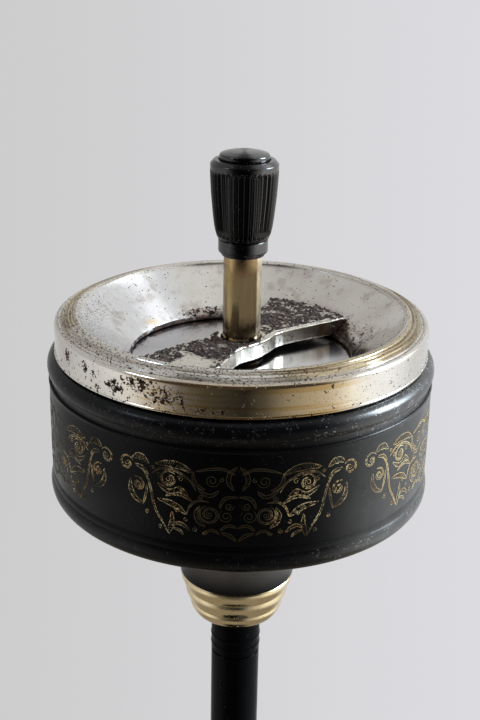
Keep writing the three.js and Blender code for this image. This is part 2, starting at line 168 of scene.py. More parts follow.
class Nodes:
    """Short calls for making and joining the nodes of one shader tree."""

    def __init__(self, tree, place):
        self.tree = tree
        self.place = self.node("ShaderNodeTexCoord").outputs[place]

    def node(self, kind, **settings):
        made = self.tree.nodes.new(kind)
        for key, value in settings.items():
            setattr(made, key, value)
        return made

    def link(self, value, socket):
        if isinstance(value, bpy.types.NodeSocket):
            self.tree.links.new(value, socket)
        elif isinstance(value, (int, float)):
            socket.default_value = value
        else:
            socket.default_value = tuple(value) + (1,) * (len(socket.default_value) - len(value))

    def stretch(self, scale, place=None):
        mapping = self.node("ShaderNodeMapping")
        self.link(place or self.place, mapping.inputs["Vector"])
        mapping.inputs["Scale"].default_value = scale
        return mapping.outputs["Vector"]

    def noise(self, scale, detail=3, roughness=0.55, place=None):
        """Noise with features of about 1/scale metres."""
        made = self.node("ShaderNodeTexNoise")
        self.link(place or self.place, made.inputs["Vector"])
        self.link(scale, made.inputs["Scale"])
        self.link(detail, made.inputs["Detail"])
        self.link(roughness, made.inputs["Roughness"])
        return made.outputs["Fac"]

    def cells(self, scale):
        made = self.node("ShaderNodeTexVoronoi")
        self.link(self.place, made.inputs["Vector"])
        self.link(scale, made.inputs["Scale"])
        return made.outputs["Distance"]

    def maths(self, operation, a, b=0.0, clamp=False):
        made = self.node("ShaderNodeMath", operation=operation, use_clamp=clamp)
        self.link(a, made.inputs[0])
        self.link(b, made.inputs[1])
        return made.outputs[0]

    def times(self, first, *others):
        for other in others:
            first = self.maths("MULTIPLY", first, other)
        return first

    def plus(self, first, *others):
        for other in others:
            first = self.maths("ADD", first, other)
        return first

    def most(self, first, *others):
        for other in others:
            first = self.maths("MAXIMUM", first, other)
        return first

    def span(self, value, low, high, to_low=0.0, to_high=1.0):
        """value rescaled from low..high to to_low..to_high, clamped and smooth at its ends."""
        made = self.node("ShaderNodeMapRange", interpolation_type="SMOOTHSTEP")
        for socket, number in zip(made.inputs, (value, low, high, to_low, to_high)):
            self.link(number, socket)
        return made.outputs[0]

    def within(self, value, low, high, edge):
        """1 between low and high, falling to 0 over edge on both sides."""
        return self.times(self.span(value, low - edge, low), self.span(value, high + edge, high))

    def mix(self, share, a, b):
        made = self.node("ShaderNodeMix", data_type="RGBA")
        self.link(share, made.inputs[0])
        self.link(a, made.inputs[6])
        self.link(b, made.inputs[7])
        return made.outputs[2]

    def blend(self, share, a, b):
        made = self.node("ShaderNodeMix", data_type="FLOAT")
        self.link(share, made.inputs[0])
        self.link(a, made.inputs[2])
        self.link(b, made.inputs[3])
        return made.outputs[0]

    def ramp(self, value, stops):
        made = self.node("ShaderNodeValToRGB")
        self.link(value, made.inputs[0])
        elements = made.color_ramp.elements
        for element, (position, colour) in zip(elements, stops[:2]):
            element.position, element.color = position, (*colour, 1)
        for position, colour in stops[2:]:
            elements.new(position).color = (*colour, 1)
        return made.outputs[0]

    def parts(self):
        made = self.node("ShaderNodeSeparateXYZ")
        self.link(self.place, made.inputs[0])
        return made.outputs

    def bearing(self):
        """Angle round the axis in radians: 0 at the front, growing towards +X."""
        x, y, _ = self.parts()
        return self.maths("ARCTAN2", x, self.maths("MULTIPLY", y, -1))


class Look(Nodes):
    """A Principled material, and measures of the place on the part in millimetres."""

    def __init__(self, name, colour, metallic=0.0, roughness=0.5, **sockets):
        self.material = bpy.data.materials.new(name)
        self.material.use_nodes = True
        super().__init__(self.material.node_tree, "Object")
        self.shader = self.tree.nodes["Principled BSDF"]
        self.set("Base Color", colour)
        self.set("Metallic", metallic)
        self.set("Roughness", roughness)
        for socket, value in sockets.items():
            self.set(socket.replace("_", " "), value)

    def set(self, name, value):
        self.link(value, self.shader.inputs[name])

    def radius(self):
        x, y, _ = self.parts()
        return self.times(self.maths("SQRT", self.plus(self.times(x, x), self.times(y, y))), 1 / MM)

    def height(self, base=0.0):
        """Height above base."""
        return self.maths("SUBTRACT", self.times(self.parts()[2], 1 / MM), base)

    def around(self):
        """Place unrolled about the axis: along the band's circumference, outward, up; in metres."""
        made = self.node("ShaderNodeCombineXYZ")
        self.link(self.times(self.bearing(), BAND_R * MM), made.inputs[0])
        self.link(self.times(self.radius(), MM), made.inputs[1])
        self.link(self.parts()[2], made.inputs[2])
        return made.outputs[0]

    def spot(self, bearing, level, centre, wide, high):
        """Fades from 1 at centre (degrees round, mm) to 0 at an ellipse of half-axes wide and high mm."""
        degrees, middle = centre
        along = self.times(self.plus(bearing, math.radians(-degrees)), BAND_R / wide)
        off = self.times(self.plus(level, -middle), 1 / high)
        return self.span(self.plus(self.times(along, along), self.times(off, off)), 1.0, 0.0)

    def dots(self, scale, size):
        """Round specks: 1 inside, 0 outside."""
        return self.span(self.cells(scale), size, size * 0.6)

    def bump(self, height, depth):
        """Roughens the surface by height, where 1 stands for depth millimetres."""
        made = self.node("ShaderNodeBump")
        self.link(height, made.inputs["Height"])
        self.link(1.0, made.inputs["Strength"])
        self.link(depth * MM, made.inputs["Distance"])
        self.set("Normal", made.outputs["Normal"])


RUST = (0.022, 0.011, 0.008)
TAR = (0.008, 0.006, 0.0055)
BLACK = (0.0022, 0.0025, 0.0035)

# Where rust has broken through the band: degrees round from the front, height above the seat, and the
# patch's half-width and half-height in millimetres.
BAND_RUST = (
    ((-60, 6.2), 3.0, 4.0), ((-50, 6.6), 3.2, 2.6), ((-46, 5.4), 2.4, 2.2), ((-44, 1.9), 2.4, 1.6),
    ((-37, 4.6), 5.0, 3.5), ((-28, 7.0), 11.0, 4.0), ((-21, 5.0), 9.0, 5.0), ((-9, 2.2), 9.0, 1.7),
)
# One deep pit among them, ringed with rust: degrees round from the front, height, radius.
PIT = (-37.2, 3.8, 0.75)


def aged_nickel():
    """Nickel plate: bright band rusting at the left, stained rim grooves, satin funnel with tar and rust."""
    look = Look("aged_nickel", (0.7, 0.68, 0.63), metallic=1.0, Specular_IOR_Level=0.12)
    bearing = look.bearing()
    height = look.height(SEAT)
    radius = look.radius()
    around = look.around()
    cloud = look.noise(60, 4)
    fine = look.noise(420, 3)
    funnel = look.span(radius, 50.6, 49.4)
    band = look.times(look.span(height, 10.4, 9.4), look.span(radius, 56.0, 57.0))
    rim = look.maths("SUBTRACT", 1.0, look.most(funnel, band), clamp=True)

    silver = look.mix(look.span(cloud, 0.35, 0.7), (0.71, 0.69, 0.65), (0.63, 0.61, 0.56))
    streaks = look.noise(120, 4, place=look.stretch((0.12, 1, 6), around))
    tarnish = look.times(band, look.within(bearing, -0.32, 0.36, 0.36))
    mottle = look.span(look.noise(45, 3), 0.35, 0.5, 0.45, 1.0)
    colour = look.mix(look.times(tarnish, mottle), silver, (0.6, 0.48, 0.3))
    colour = look.mix(look.times(tarnish, look.span(streaks, 0.47, 0.6), 0.75), colour, (0.5, 0.33, 0.12))
    lines = look.noise(1500, 3, place=look.stretch((0.015, 1, 0.2), around))
    golden = look.most(look.within(bearing, 0.35, 1.9, 0.3), look.within(bearing, -2.95, -1.3, 0.15))
    golden = look.times(rim, look.within(radius, 51.9, 55.4, 0.5), golden)
    colour = look.mix(look.times(golden, 0.75), colour, (0.5, 0.4, 0.22))
    stained = look.times(rim, look.span(lines, 0.46, 0.55), look.span(golden, 0, 1, 0.45, 0.85))
    colour = look.mix(stained, colour, (0.19, 0.135, 0.075))

    cool = look.times(funnel, look.within(bearing, -2.5, -1.0, 0.25))
    colour = look.mix(cool, colour, (0.67, 0.67, 0.675))
    film = look.times(funnel, look.span(look.noise(190, 3), 0.52, 0.7), 0.45)
    colour = look.mix(film, colour, (0.34, 0.29, 0.23))
    back_right = look.spot(bearing, radius, (134, 37), 44, 5)
    back_left = look.spot(bearing, radius, (-160, 35.5), 26, 2.2)
    right_wall = look.times(look.spot(bearing, radius, (97, 37), 17, 8), 0.7)
    rust_zone = look.times(funnel, look.most(back_right, back_left, right_wall))
    bloom = look.times(rust_zone, look.span(look.noise(260, 3), 0.35, 0.55), 0.55)
    colour = look.mix(bloom, colour, (0.34, 0.26, 0.22))
    gilt = look.times(look.spot(bearing, radius, (-124, 35.8), 8, 2.0),
                      look.span(look.noise(300, 3), 0.36, 0.5))
    colour = look.mix(look.times(gilt, 0.6), colour, (0.6, 0.42, 0.22))

    patches = [look.spot(bearing, height, *patch) for patch in BAND_RUST]
    foot = look.times(look.span(height, 3.2, 1.2), 0.45)
    band_zone = look.times(band, look.most(foot, 0.28, *patches))
    pepper = look.noise(1900, 4, 0.62, place=look.stretch((0.75, 1, 1), around))
    zone = look.most(rust_zone, band_zone)
    rust = look.span(look.plus(pepper, look.times(zone, 0.16)), 0.68, 0.71)
    grains = look.span(look.plus(look.noise(620, 4, 0.6), look.times(zone, 0.2)), 0.7, 0.74)
    rim_zone = look.times(rim, look.within(bearing, -1.7, 0.3, 0.6))
    front_wall = look.times(funnel, look.within(bearing, -1.7, -0.2, 0.5), look.span(radius, 40, 46))
    crowd = look.most(look.times(rim_zone, 0.85), look.times(front_wall, 0.7), look.times(rim, 0.55))
    rim_specks = look.span(look.plus(pepper, look.times(crowd, 0.12)), 0.66, 0.685)
    strays = look.times(funnel, look.dots(560, 0.17), look.span(look.noise(70, 3), 0.4, 0.55))
    pit_bearing, pit_height, pit_radius = PIT
    along = look.times(look.plus(bearing, math.radians(-pit_bearing)), BAND_R)
    up = look.plus(height, -pit_height)
    apart = look.maths("SQRT", look.plus(look.times(along, along), look.times(up, up)))
    ring = look.times(band, look.within(apart, pit_radius, pit_radius + 0.2, 0.25))
    lip = look.times(look.span(radius, 34.95, 34.75), look.span(look.noise(300, 3), 0.3, 0.5, 0.45, 0.95))
    rust = look.most(rust, grains, rim_specks, strays, look.times(ring, 0.85), lip)

    earth = look.mix(look.span(fine, 0.45, 0.62), RUST, (0.1, 0.05, 0.032))
    look.set("Base Color", look.mix(rust, colour, earth))
    look.set("Metallic", look.blend(rust, 1.0, 0.0))
    polish = look.blend(funnel, look.span(fine, 0.3, 0.7, 0.08, 0.16), look.span(fine, 0.3, 0.7, 0.15, 0.24))
    look.set("Roughness", look.blend(rust, polish, 0.85))
    brushed = look.times(look.noise(900, 3, place=look.stretch((0.02, 1, 3), around)), 0.05)
    look.bump(look.plus(look.times(grains, 0.9), look.times(fine, 0.04), brushed), 0.1)
    return look.material


def plain_steel():
    look = Look("mill_steel", (0.5, 0.5, 0.49), metallic=1.0)
    fine = look.noise(500, 4)
    stain = look.span(look.noise(70, 4), 0.5, 0.7)
    look.set("Base Color", look.mix(stain, (0.46, 0.46, 0.45), (0.28, 0.22, 0.17)))
    look.set("Roughness", look.span(fine, 0.3, 0.7, 0.28, 0.5))
    look.bump(fine, 0.02)
    return look.material


def disc_steel():
    """The spinning disc: smooth bluish plate with a soft lustre and a few dull spots."""
    look = Look("disc_plate", (0.42, 0.43, 0.46), metallic=1.0)
    cloud = look.noise(55, 3)
    spots = look.times(look.dots(500, 0.25), look.span(look.noise(90), 0.5, 0.65))
    colour = look.mix(look.span(cloud, 0.35, 0.7), (0.62, 0.62, 0.65), (0.52, 0.52, 0.54))
    dirty_edge = look.times(look.span(look.radius(), 29, 36), look.span(look.noise(240, 4), 0.46, 0.6), 0.6)
    colour = look.mix(dirty_edge, colour, (0.16, 0.13, 0.11))
    look.set("Base Color", look.mix(spots, colour, (0.1, 0.08, 0.07)))
    look.set("Roughness", look.span(cloud, 0.3, 0.7, 0.13, 0.2))
    look.bump(look.noise(800), 0.005)
    return look.material


def aged_brass(name, worn, patina, streaked, satin):
    """Worn brass under a brown patina that runs down in streaks, as far as streaked says."""
    look = Look(name, worn, metallic=1.0)
    streaks = look.noise(230, 4, place=look.stretch((1, 1, 0.16)))
    blots = look.noise(110, 4)
    cover = look.times(look.most(look.span(streaks, 0.44, 0.66), look.span(blots, 0.52, 0.66)), streaked)
    pits = look.times(look.dots(900, 0.22), look.span(look.noise(160), 0.48, 0.6), 0.7)
    colour = look.mix(cover, worn, patina)
    look.set("Base Color", look.mix(pits, colour, (0.07, 0.045, 0.025)))
    look.set("Roughness", look.span(look.noise(500, 3), 0.3, 0.7, satin - 0.07, satin + 0.08))
    look.bump(look.plus(look.noise(900, 3), look.times(pits, -0.8)), 0.02)
    return look.material


def tube_brass():
    """Brass tube under streaks of brown patina and soot, painted darker down its front as a dark reflection,
    with a painted highlight along its right side.
    """
    look = Look("tube_brass", (0.5, 0.38, 0.19), metallic=1.0)
    bearing = look.bearing()
    height = look.height(SEAT)
    streaks = look.noise(260, 4, place=look.stretch((1, 1, 0.14)))
    # Painted highlight: along the right side the brass is paler and kept clean of patina.
    right = look.within(bearing, 0.95, 2.2, 0.2)
    worn = look.mix(right, (0.52, 0.39, 0.17), (1.0, 0.9, 0.66))
    # Painted dark reflection: the front of the tube is covered in dark brown, as well as the patina streaks.
    front = look.within(bearing, -0.35, 0.75, 0.4)
    cover = look.most(look.span(streaks, 0.42, 0.62), look.times(front, 0.75))
    cover = look.times(cover, look.span(right, 0, 1, 1, 0.08))
    colour = look.mix(cover, worn, (0.2, 0.15, 0.105))
    soot = look.times(look.span(height, 15, 7), look.span(look.noise(150, 4), 0.42, 0.6),
                      look.within(bearing, 0.0, 1.2, 0.3))
    colour = look.mix(look.times(soot, 0.75), colour, (0.09, 0.07, 0.06))
    amber = look.times(look.span(height, 14, 24), look.span(look.noise(120, 3), 0.42, 0.6), 0.5)
    colour = look.mix(amber, colour, (0.33, 0.2, 0.1))
    look.set("Base Color", colour)
    look.set("Roughness", look.blend(right, look.span(look.noise(600, 3), 0.3, 0.7, 0.1, 0.2), 0.32))
    look.bump(look.noise(1000, 3), 0.012)
    return look.material


def enamel_gloss(look):
    """Specular level of the enamel: dull with handling, still glossy on the right."""
    return look.span(look.within(look.bearing(), 0.95, 2.1, 0.75), 0, 1, 0.07, 0.5)


def black_enamel():
    """Stove enamel: black with fine orange peel, pale chips and dust along the beads, crowded onto the right
    as painted glints, and a painted bluish sheen on its right side.
    """
    look = Look("black_enamel", BLACK, roughness=0.26)
    height = look.height(SEAT)
    upper = look.span(look.maths("ABSOLUTE", look.plus(height, 4)), 4.6, 2.2)
    lower = look.span(look.maths("ABSOLUTE", look.plus(height, 43)), 3.4, 1.6)
    beads = look.most(upper, lower)
    look.set("Specular IOR Level", look.times(enamel_gloss(look), look.span(beads, 0, 1, 1.0, 2.0)))
    # The right mask is the lit side: the real chips and dust specks crowd onto it as painted glints in the
    # highlight.
    right = look.within(look.bearing(), 0.6, 1.5, 0.4)
    chips = look.times(look.span(look.noise(1500, 4, 0.65), 0.57, 0.62),
                       look.span(look.noise(260, 3), 0.5, 0.58))
    chips = look.times(chips, look.most(upper, look.times(lower, 0.5)), look.span(right, 0, 1, 0.12, 1.0))
    specks = look.times(look.dots(900, 0.17), look.span(look.noise(140), 0.47, 0.6))
    specks = look.times(specks, look.span(upper, 0, 1, 0.2, 1.0), look.span(right, 0, 1, 0.4, 1.0))
    worn = look.most(chips, specks)
    # Painted sheen: the black turns bluish grey on the right, where the window lights the bowl.
    painted_sheen = look.times(look.within(look.bearing(), 0.9, 2.2, 0.6),
                        look.span(look.noise(260, 4), 0.3, 0.7, 0.4, 1.0))
    black = look.mix(painted_sheen, BLACK, (0.022, 0.026, 0.03))
    look.set("Base Color", look.mix(look.times(worn, 0.8), black, (0.62, 0.62, 0.6)))
    look.set("Roughness", look.span(look.noise(120, 3), 0.3, 0.7, 0.22, 0.32))
    peel = look.plus(look.noise(700, 3), look.times(look.noise(2600, 2), 0.3))
    look.bump(peel, 0.02)
    return look.material


def gloss_black(name, reflection_share):
    """Black lacquer with a little dust; on the cone, a painted pale reflection band greys it just under the
    bowl, as much as reflection_share says.
    """
    look = Look(name, BLACK, roughness=0.18, Specular_IOR_Level=0.025)
    dust = look.times(look.dots(700, 0.15), look.span(look.noise(120), 0.5, 0.62), 0.2)
    # Painted reflection: a pale grey band on the cone just under the bowl, where it mirrors the pale room.
    painted_reflection = look.times(look.within(look.height(SEAT), -69, -62, 13),
                        look.span(look.noise(90, 3), 0.2, 0.6, 0.7, 1.0), reflection_share)
    look.set("Base Color", look.mix(dust, look.mix(painted_reflection, BLACK, (0.15, 0.142, 0.135)), (0.4, 0.39, 0.37)))
    look.set("Roughness", look.span(look.noise(160, 4), 0.3, 0.7, 0.16, 0.3))
    look.bump(look.noise(900, 3), 0.01)
    return look.material


def bakelite():
    """Polished phenolic, dull in front and behind, with faint marks and specks of grey dust."""
    look = Look("bakelite", BLACK, roughness=0.2)
    right = look.within(look.bearing(), 0.6, 2.3, 0.5)
    left = look.within(look.bearing(), -2.3, -0.6, 0.5)
    sides = look.plus(right, look.times(left, 0.42))
    look.set("Specular IOR Level", look.plus(look.times(sides, 1.15), 0.08))
    marks = look.span(look.noise(500, 5, 0.7), 0.55, 0.75)
    specks = look.times(look.dots(1100, 0.2), look.span(look.noise(200), 0.52, 0.62))
    share = look.plus(look.times(marks, 0.004), look.times(specks, 0.35))
    look.set("Base Color", look.mix(share, BLACK, (0.4, 0.38, 0.35)))
    look.set("Roughness", look.span(look.noise(300, 4), 0.3, 0.7, 0.1, 0.2))
    look.bump(look.noise(1200, 3), 0.012)
    return look.material


def gold_print():
    """Gold transfer lines, rubbed away in places down to the black."""
    look = Look("gold_print", (0.75, 0.58, 0.33), roughness=0.3)
    look.set("Specular IOR Level", enamel_gloss(look))
    panel = look.maths("PINGPONG", look.bearing(), PRINT_PITCH / 2)
    centre = look.span(panel, 0.26, 0.1)
    rubbed = look.span(look.noise(1300, 4, 0.7), 0.47, 0.53)
    foot = look.span(look.height(SEAT), -30, -34)
    wear = look.plus(look.noise(95, 3), look.times(centre, 0.28), look.times(foot, 0.06))
    faded = look.span(wear, 0.46, 0.64)
    kept = look.span(look.within(look.bearing(), 0.8, 1.25, 0.2), 0, 1, 1.0, 0.35)
    worn = look.times(look.most(look.times(rubbed, 0.9), look.times(faded, 0.92)), kept)
    gold = look.mix(look.span(look.noise(210, 3), 0.4, 0.62), (0.9, 0.63, 0.29), (1.0, 0.84, 0.48))
    look.set("Base Color", look.mix(worn, gold, BLACK))
    return look.material


def crusted_nickel():
    """Pitted nickel, under tar and ash where the crust attribute is high, browned where it is below 0. On the
    bridge's underside the tar is painted shade, and the pale ash on the grain tops is partly painted
    highlight.
    """
    look = Look("crusted_nickel", (0.5, 0.48, 0.44), metallic=1.0)
    crust = look.node("ShaderNodeAttribute", attribute_name="crust").outputs["Fac"]
    grain = look.noise(1500, 4, 0.7)
    cover = look.span(look.plus(crust, look.times(look.plus(grain, -0.5), 0.5)), 0.12, 0.27)
    brown = look.mix(look.span(look.noise(600, 3), 0.4, 0.6), TAR, (0.075, 0.04, 0.028))
    # Pale ash on the raised tops of the grains, partly a painted highlight where light would catch them.
    ash = look.times(look.span(crust, 0.6, 0.9), look.span(grain, 0.46, 0.6), 0.9)
    dirt = look.mix(ash, brown, (0.46, 0.39, 0.37))
    pitted = look.times(look.span(look.noise(1000, 3), 0.56, 0.64), 0.75)
    metal = look.mix(pitted, (0.68, 0.65, 0.58), (0.2, 0.16, 0.12))
    metal = look.mix(look.span(crust, 0.0, -0.1), metal, (0.3, 0.21, 0.14))
    look.set("Base Color", look.mix(cover, metal, dirt))
    look.set("Metallic", look.blend(cover, 1.0, 0.0))
    look.set("Roughness", look.blend(cover, 0.28, 0.7))
    look.bump(look.plus(look.times(grain, cover), look.times(grain, 0.1)), 0.14)
    return look.material


def cast_iron():
    look = Look("cast_iron", (0.06, 0.057, 0.053), metallic=0.7, roughness=0.7)
    grain = look.noise(900, 5, 0.7)
    look.set("Base Color", look.mix(look.span(grain, 0.4, 0.65), (0.05, 0.047, 0.045), (0.1, 0.06, 0.04)))
    look.bump(grain, 0.25)
    return look.material


def felt():
    look = Look("felt", (0.02, 0.045, 0.028), roughness=1.0)
    fibres = look.noise(2500, 5, 0.8)
    green = look.mix(look.span(fibres, 0.35, 0.65), (0.015, 0.035, 0.02), (0.04, 0.075, 0.045))
    look.set("Base Color", green)
    look.bump(fibres, 0.3)
    return look.material


NICKEL = aged_nickel()
STEEL = plain_steel()
DISC = disc_steel()
TUBE_BRASS = tube_brass()
COLLAR_BRASS = aged_brass("collar_brass", (0.74, 0.62, 0.39), (0.58, 0.45, 0.25), 0.3, 0.15)
# Painted shade: the bush, stop collar and spinner hub are brass painted nearly black, standing in for the
# shade under the bridge and the disc.
SHADE_DARK_BRASS = aged_brass("shade_dark_brass", (0.05, 0.035, 0.02), (0.01, 0.008, 0.006), 1.0, 0.5)
ENAMEL = black_enamel()
GLOSS = gloss_black("gloss_black", 0.0)
CONE_BLACK = gloss_black("cone_black", 1.0)
BAKELITE = bakelite()
GOLD = gold_print()
CRUST = crusted_nickel()
IRON = cast_iron()
FELT = felt()


# --- The tray ---

RIM_GROOVES = ((55.0, 10.95), (53.9, 11.5), (52.9, 11.95))
GROOVE_WIDTH = 0.5
GROOVE_DEPTH = 0.22


def groove(radius, height):
    """Outline of a groove turned into the sloping rim, from its outer edge to its inner one."""
    edge = GROOVE_WIDTH / 2
    side = GROOVE_WIDTH / 5
    return [(radius + edge, height - 0.06), (radius + side, height - GROOVE_DEPTH * 0.8),
            (radius, height - GROOVE_DEPTH), (radius - side, height - GROOVE_DEPTH * 0.7),
            (radius - edge, height + 0.06)]


def make_tray():
    rim = [(57.0, 0.0)]
    rim += arc(57.75, 0.5, 0.5, -100, 60, 6)
    rim += [(BAND_R, 1.3), (BAND_R, 4.5), (BAND_R, 8.0)]
    rim += arc(56.4, 8.6, 1.6, 5, 80, 8)
    rim += [(56.3, 10.1), (56.1, 10.05), (55.8, 10.35)]
    for radius, height in RIM_GROOVES:
        rim += groove(radius, height)
    rim += smooth([(52.2, 12.2), (51.5, 12.3), (50.6, 11.9), (49.7, 10.9), (47.5, 8.9), (42, 4.4),
                   (36.2, -0.5)], 4)
    rim += smooth([(35.3, -1.4), (34.55, -2.3), (34.45, -2.8), (34.7, -3.2)], 4)
    under = [(35.4, -2.9), (36.6, -1.4), (42.3, 3.3), (48, 8.1), (50.5, 10.4), (52, 11.1), (55.6, 9.2),
             (56.9, 7.8)]
    turn("funnel_tray", rim + under, "tray", NICKEL, steps=256, shape=hand_spun(0.18))


def make_locating_ring():
    turn("locating_ring", [(55.7, -10)] + arc(56.45, -9.75, 0.25, -90, 0, 3) + [(56.7, 8), (55.7, 8)],
         "tray", STEEL, steps=192)


def make_guide_bush():
    bush = [(6.2, -0.4), (6.3, -0.5), (6.9, -0.5), (7.1, -0.3), (7.1, 1.5), (6.9, 1.7), (6.4, 1.7)]
    turn("guide_bush", bush + [(6.2, 1.5)], "tray", SHADE_DARK_BRASS, steps=96)


def remeshed_copy(node, voxel):
    """The CAD node's mesh rebuilt as an even net of small faces."""
    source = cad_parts[node]
    copy = bpy.data.objects.new(node + "_fine", source.data.copy())
    bpy.context.scene.collection.objects.link(copy)
    net = copy.modifiers.new("net", "REMESH")
    net.mode = "VOXEL"
    net.voxel_size = voxel * MM
    soften = copy.modifiers.new("soften", "SMOOTH")
    soften.iterations = 4
    soften.factor = 0.5
    depsgraph = bpy.context.evaluated_depsgraph_get()
    mesh = bpy.data.meshes.new_from_object(copy.evaluated_get(depsgraph))
    copy.modifiers.clear()
    copy.data = mesh
    return copy


BRIDGE_TURN = math.radians(52)
# Half the bridge's width at distances from its middle: (distance, half-width).
BRIDGE_HALF_WIDTHS = ((0, 8.4), (4, 8.1), (8.5, 7.1), (12, 7.5), (18, 9.5), (39.5, 16.6))


def half_width(along):
    """Half the bridge's width at a distance from its middle."""
    for (near, narrow), (far, wide) in zip(BRIDGE_HALF_WIDTHS, BRIDGE_HALF_WIDTHS[1:]):
        if along <= far:
            return narrow + (wide - narrow) * (along - near) / (far - near)
    return BRIDGE_HALF_WIDTHS[-1][1]


# Where the bridge's plate is bare, and where the crust is heaped: middle along and across, half-length
# and half-width.
BARE_SPOTS = ((-30.0, -4.2, 6.8, 5.4), (-23.4, 2.6, 1.5, 3.0))
HEAPS = ((-15.0, -1.0, 10.0, 9.0), (20.0, 5.0, 11.0, 7.0), (-33.0, 5.0, 5.0, 5.0))


def on_bridge(place):
    """A point as millimetres along the bridge and across it."""
    along = place.x * math.cos(BRIDGE_TURN) + place.y * math.sin(BRIDGE_TURN)
    across = place.y * math.cos(BRIDGE_TURN) - place.x * math.sin(BRIDGE_TURN)
    return along / MM, across / MM


def bend_in(place):
    """The left arm's rear edge is bent in towards its tip: how far a point moves."""
    along, across = on_bridge(place)
    inward = 0.24 * max(0.0, across) * min(1.0, max(0.0, (-along - 9) / 24)) * MM
    return Vector((inward * math.sin(BRIDGE_TURN), -inward * math.cos(BRIDGE_TURN), 0))


def crust_depth(place):
    """How thick the crust of tar and ash lies at a point of the bridge's top, 0 to 1."""
    along, across = on_bridge(place)
    wander = noise.noise(place * 330)
    inset = half_width(abs(along)) - abs(across) + wander * 1.1
    cover = min(1.0, max(0.0, (inset + 0.1) / 0.6))
    if along > 0:
        clear = 1.3 if along < 31 else -1.0
        cover *= min(1.0, max(0.0, (half_width(along) + across - clear + wander * 0.8) / 0.7))
    cover *= min(1.0, max(0.0, (math.hypot(along, across) - 6.6 + wander * 1.5) / 1.2))
    cover *= min(1.0, max(0.3, 1.7 + 2.4 * noise.noise(place * 110 + Vector((3.1, 0, 0)))))
    for middle, side, length, width in BARE_SPOTS:
        apart = math.hypot((along - middle) / length, (across - side) / width) + wander * 0.15
        cover *= min(1.0, max(0.0, (apart - 1) / 0.25))
    distances, nearest = noise.voronoi(place * 950)
    grain = max(0.0, 1.0 - 1.5 * distances[0]) * (0.65 + 0.5 * noise.noise(nearest[0] * 7.3))
    heap = 0.2 + 0.25 * noise.noise(place * 420)
    for middle, side, length, width in HEAPS:
        heap += 0.4 * max(0.0, 1 - math.hypot((along - middle) / length, (across - side) / width))
    return max(0.0, min(1.0, grain + heap)) * cover


def make_bridge():
    """The bridge with an uneven hem, and crust on top as thick as its crust attribute says."""
    bridge = remeshed_copy("bridge", 0.25)
    mesh = bridge.data
    lowest_top = (SEAT + 2.1) * MM
    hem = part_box("bridge")[0].z + 0.8 * MM
    crust = mesh.attributes.new("crust", "FLOAT", "POINT")
    upright = [vertex.normal.z for vertex in mesh.vertices]
    for vertex, rise in zip(mesh.vertices, upright):
        if vertex.co.z > lowest_top and rise > 0.3:
            depth = crust_depth(vertex.co)
            crust.data[vertex.index].value = depth
            vertex.co.z += 1.1 * MM * depth * rise + 0.07 * MM * noise.noise(vertex.co * 620)
        # The underside, and the sides of the far tip, get crust as well: on the underside it is painted
        # shade, tar-black so that a black shade shows under the bridge and in the disc below; on the tip it
        # is dark brown rust.
        elif rise < -0.5 or vertex.co.x > 29 * MM:
            crust.data[vertex.index].value = 0.5 + 0.4 * noise.noise(vertex.co * 500)
        else:
            # The sides have no crust, but a brown stain, as a value below 0, that grows towards +X.
            stain = min(1.0, max(0.0, (vertex.co.x / MM - 14) / 12))
            crust.data[vertex.index].value = -0.1 * stain * (0.8 + 0.6 * noise.noise(vertex.co * 300))
        if vertex.co.z < hem:
            vertex.co.z -= MM * max(0.0, 0.45 + 0.6 * noise.noise(vertex.co * 55))
        vertex.co += bend_in(vertex.co)
    mesh.shade_smooth()
    dress(bridge, ["bridge"], "tray", CRUST)


def make_spring():
    turns = 6.5
    low, high = (z / MM - SEAT for z in (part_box("return_spring")[0].z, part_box("return_spring")[1].z))
    radius, wire, sides = 5.5, 0.4, 10
    steps = int(turns * 40)
    vertices, faces = [], []
    for i in range(steps + 1):
        t = i / steps
        turn_angle = 2 * math.pi * turns * t
        ease = min(1, max(0, (t * turns - 0.8) / (turns - 1.6)))
        height = SEAT + low + wire + (high - low - 2 * wire) * ease
        for k in range(sides):
            around = 2 * math.pi * k / sides
            r = radius + wire * math.cos(around)
            vertices.append((r * math.cos(turn_angle) * MM, r * math.sin(turn_angle) * MM,
                             (height + wire * math.sin(around)) * MM))
    for i in range(steps):
        for k in range(sides):
            a, b = i * sides + k, i * sides + (k + 1) % sides
            faces.append((a, a + sides, b + sides, b))
    faces.append(tuple(range(sides)))
    faces.append(tuple(reversed(range(steps * sides, steps * sides + sides))))
    spring = new_object("return_spring_fine", vertices, faces)
    dress(spring, ["return_spring"], "tray", STEEL)
    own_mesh(spring)


# --- The plunger ---

FLUTES = 36


